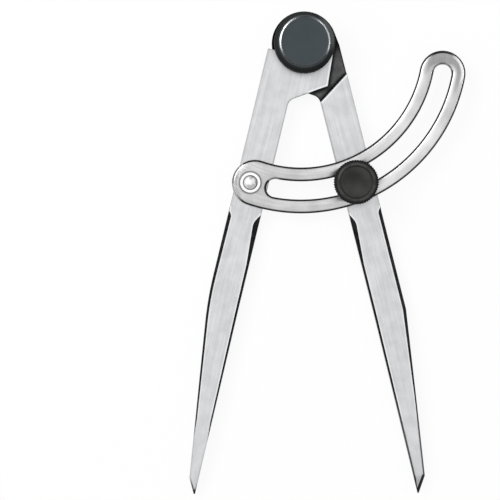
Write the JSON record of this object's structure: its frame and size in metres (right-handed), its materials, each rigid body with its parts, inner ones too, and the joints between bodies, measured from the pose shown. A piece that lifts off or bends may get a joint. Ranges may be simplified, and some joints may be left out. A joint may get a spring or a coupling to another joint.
{
  "type": "wing divider",
  "caption": "Flat steel divider with a lapped head under a black cap, a slotted arc riveted to one leg and a knurled knob that clamps the other.",
  "frame": {"origin": "on the axis of the head's pivot, in the resting plane, at the middle of the pivot screw's flush back face", "axes": "+Y from the points towards the head, +Z out of the front, where the arc and the knob are, +X to the right seen from the front"},
  "size_m": [0.1112, 0.1954, 0.0181],
  "materials": {
    "ground_steel": "ground lengthwise on the faces, black oxide on edges, chamfers and lap recess",
    "plated_steel": "dull plating, fine lengthwise grain, dark rounded edges",
    "bright_steel": "bright",
    "plain_steel": "plain turned steel",
    "cap_plastic": "satin black moulding",
    "knob_plastic": "matt black moulding, finely knurled rim"
  },
  "bodies": {
    "left_leg": {"left_leg": "ground_steel", "quadrant_rivet": "bright_steel", "rivet_washer": "bright_steel"},
    "right_leg": {"right_leg": "ground_steel", "pivot_screw": "plain_steel", "head_washer": "plain_steel", "lower_disc_spring": "plain_steel", "upper_disc_spring": "plain_steel", "pivot_nut": "plain_steel", "head_cap": "cap_plastic", "clamp_screw": "plain_steel"},
    "quadrant": {"quadrant": "plated_steel"},
    "clamp_washer": {"clamp_washer": "plain_steel"},
    "clamp_knob": {"clamp_knob": "knob_plastic", "knob_insert": "plain_steel"}
  },
  "joints": [
    {"name": "leg_hinge", "type": "hinge", "parent": "left_leg", "child": "right_leg", "pos_m": [0, 0, 0.003], "axis": [0, 0, 1], "range_deg": [-27.7, 54]},
    {"name": "quadrant_pivot", "type": "hinge", "parent": "left_leg", "child": "quadrant", "pos_m": [-0.02179, -0.0562, 0.0072], "axis": [0, 0, 1], "range_deg": [-2.6, 1.4]},
    {"name": "clamp_lift", "type": "slide", "parent": "right_leg", "child": "clamp_washer", "axis": [0, 0, 1], "range_m": [0, 0.001]},
    {"name": "knob_turn", "type": "hinge", "parent": "clamp_washer", "child": "clamp_knob", "pos_m": [0.02045, -0.05611, 0.0096], "axis": [0, 0, 1], "range_deg": [0, 360]}
  ],
  "couplings": [
    {"joint": "quadrant_pivot", "follows": "leg_hinge", "ratio": -0.045},
    {"joint": "knob_turn", "follows": "clamp_lift", "rad_per_m": 6283.2}
  ]
}
